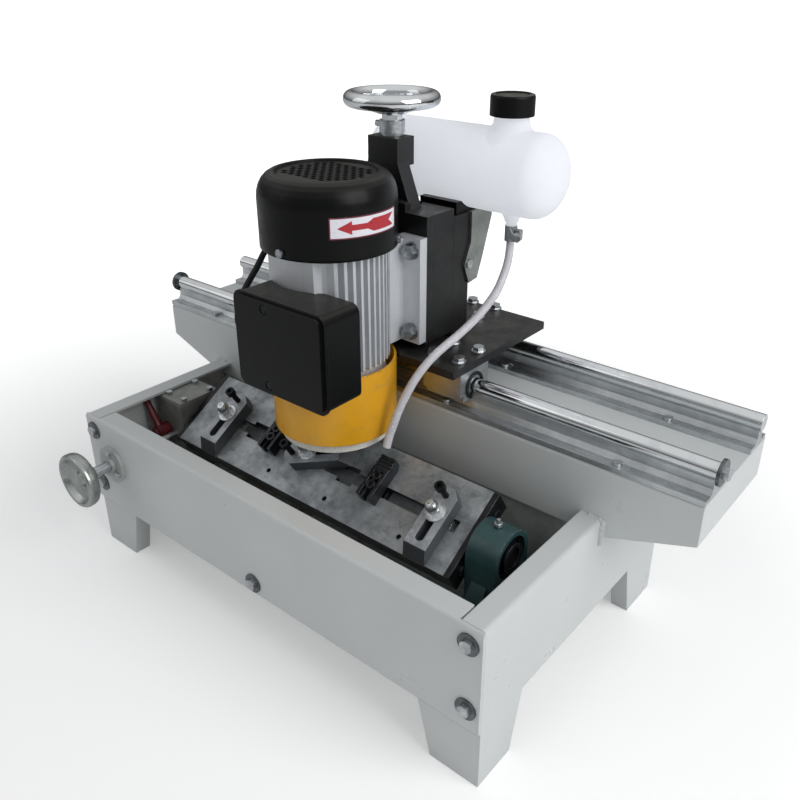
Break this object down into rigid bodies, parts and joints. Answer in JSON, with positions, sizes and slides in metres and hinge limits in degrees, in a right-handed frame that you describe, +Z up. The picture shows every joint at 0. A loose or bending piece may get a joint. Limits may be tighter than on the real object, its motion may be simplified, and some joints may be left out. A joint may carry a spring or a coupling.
{
  "type": "planer knife grinder",
  "caption": "Straight-line knife grinder: cup wheel head on a twin-rail carriage over a tilting clamp table with worm drive, gravity coolant tank and sheet steel base.",
  "frame": {"origin": "middle of the footprint, on the floor plane under the legs", "axes": "+X along the rails to the right seen from the front panel, +Y back from the front panel to the rail bed, +Z up"},
  "size_m": [0.719, 0.3785, 0.507],
  "materials": {
    "base_paint": "smooth powder coat",
    "tray_paint": "smooth powder coat",
    "rail_alu": "extruded, matt",
    "rod_chrome": "ground and chromed",
    "zinc_steel": "zinc plated",
    "black_paint": "satin powder coat",
    "black_plastic": "fine grain",
    "motor_alu": "die cast, silver paint",
    "guard_paint": "semi-gloss yellow",
    "abrasive": "vitrified abrasive grain",
    "tank_plastic": "translucent white",
    "hose_clear": "clear soft tube",
    "table_steel": "ground, scratched",
    "dark_steel": "blackened",
    "green_cast": "dark green paint",
    "grey_cast": "cast grey",
    "red_plastic": "dark red moulded grip",
    "bronze": "machined",
    "cable_rubber": "matt black sheath"
  },
  "bodies": {
    "base": {"front_panel": "base_paint", "side_frame_left": "base_paint", "side_frame_right": "base_paint", "rail_bed": "base_paint", "trough_tray": "tray_paint", "rail_supports": "rail_alu", "rail_shafts": "rod_chrome", "base_fasteners": "zinc_steel", "pillow_block": "green_cast", "bearing_insert": "dark_steel", "gear_housing": "grey_cast", "gear_cover": "grey_cast", "worm_flange": "grey_cast"},
    "table": {"table": "table_steel", "trunnions": "dark_steel", "worm_wheel": "bronze", "table_screws": "dark_steel"},
    "tilt_drive": {"worm_shaft": "zinc_steel", "tilt_handwheel": "grey_cast"},
    "lock": {"lock_lever": "red_plastic"},
    "clamp_left": {"clamp_left_bar": "table_steel", "clamp_left_bolts": "zinc_steel"},
    "clamp_middle": {"clamp_middle_bar": "table_steel", "clamp_middle_bolts": "zinc_steel"},
    "clamp_right": {"clamp_right_bar": "table_steel", "clamp_right_bolts": "zinc_steel"},
    "gauge_a": {"gauge_left": "dark_steel", "gauge_left_screws": "dark_steel"},
    "gauge_b": {"gauge_right": "dark_steel", "gauge_right_screws": "dark_steel"},
    "carriage": {"carriage_plate": "black_paint", "bearing_blocks": "rail_alu", "carriage_bolts": "zinc_steel", "column": "black_paint", "lift_nut": "bronze", "tank_bracket": "tray_paint", "tank_saddle": "black_plastic", "tank": "tank_plastic", "hose_clip": "zinc_steel", "hose": "hose_clear"},
    "cap": {"tank_cap": "black_plastic"},
    "head": {"slide_plate": "black_paint", "slide_block": "black_paint", "motor_housing": "motor_alu", "end_shield": "motor_alu", "fan_cover": "black_plastic", "terminal_box": "black_plastic", "terminal_cover": "black_plastic", "cable_gland": "black_plastic", "cable": "cable_rubber", "cable_clip": "black_plastic", "head_bolts": "zinc_steel", "wheel_guard": "guard_paint"},
    "rotor": {"rotor_shaft": "dark_steel", "cooling_fan": "black_plastic", "cup_wheel": "abrasive", "wheel_nut": "zinc_steel"},
    "lift_drive": {"lift_handwheel": "rod_chrome", "lift_screw": "zinc_steel"}
  },
  "joints": [
    {"name": "table_tilt", "type": "hinge", "parent": "base", "child": "table", "pos_m": [0, -0.02675, 0.144], "axis": [1, 0, 0], "range_deg": [-32, 28]},
    {"name": "tilt_wheel_turn", "type": "hinge", "parent": "base", "child": "tilt_drive", "pos_m": [-0.222, -0.14075, 0.12], "axis": [0, 1, 0], "continuous": true},
    {"name": "lock_lever_swing", "type": "hinge", "parent": "base", "child": "lock", "pos_m": [-0.236, -0.06875, 0.1245], "axis": [0, 1, 0], "range_deg": [0, 55]},
    {"name": "clamp_left_slide", "type": "slide", "parent": "table", "child": "clamp_left", "axis": [1, 0, 0], "range_m": [-0.016, 0.02]},
    {"name": "clamp_middle_slide", "type": "slide", "parent": "table", "child": "clamp_middle", "axis": [1, 0, 0], "range_m": [-0.005, 0.012]},
    {"name": "clamp_right_slide", "type": "slide", "parent": "table", "child": "clamp_right", "axis": [1, 0, 0], "range_m": [-0.02, 0.008]},
    {"name": "gauge_left_slide", "type": "slide", "parent": "table", "child": "gauge_a", "axis": [1, 0, 0], "range_m": [-0.018, 0.006]},
    {"name": "gauge_right_slide", "type": "slide", "parent": "table", "child": "gauge_b", "axis": [1, 0, 0], "range_m": [-0.015, 0.02]},
    {"name": "carriage_travel", "type": "slide", "parent": "base", "child": "carriage", "axis": [1, 0, 0], "range_m": [-0.235, 0.235]},
    {"name": "cap_lift", "type": "slide", "parent": "carriage", "child": "cap", "axis": [0, 0, 1], "range_m": [0, 0.03]},
    {"name": "head_lift", "type": "slide", "parent": "carriage", "child": "head", "axis": [0, 0, 1], "range_m": [0, 0.06]},
    {"name": "spindle_spin", "type": "hinge", "parent": "head", "child": "rotor", "pos_m": [0, -0.01875, 0.3], "axis": [0, 0, 1], "continuous": true},
    {"name": "lift_wheel_turn", "type": "hinge", "parent": "head", "child": "lift_drive", "pos_m": [0, 0.06925, 0.467], "axis": [0, 0, 1], "continuous": true}
  ],
  "couplings": [
    {"joint": "tilt_wheel_turn", "follows": "table_tilt", "ratio": -32},
    {"joint": "lift_wheel_turn", "follows": "head_lift", "rad_per_m": 2094.4}
  ]
}
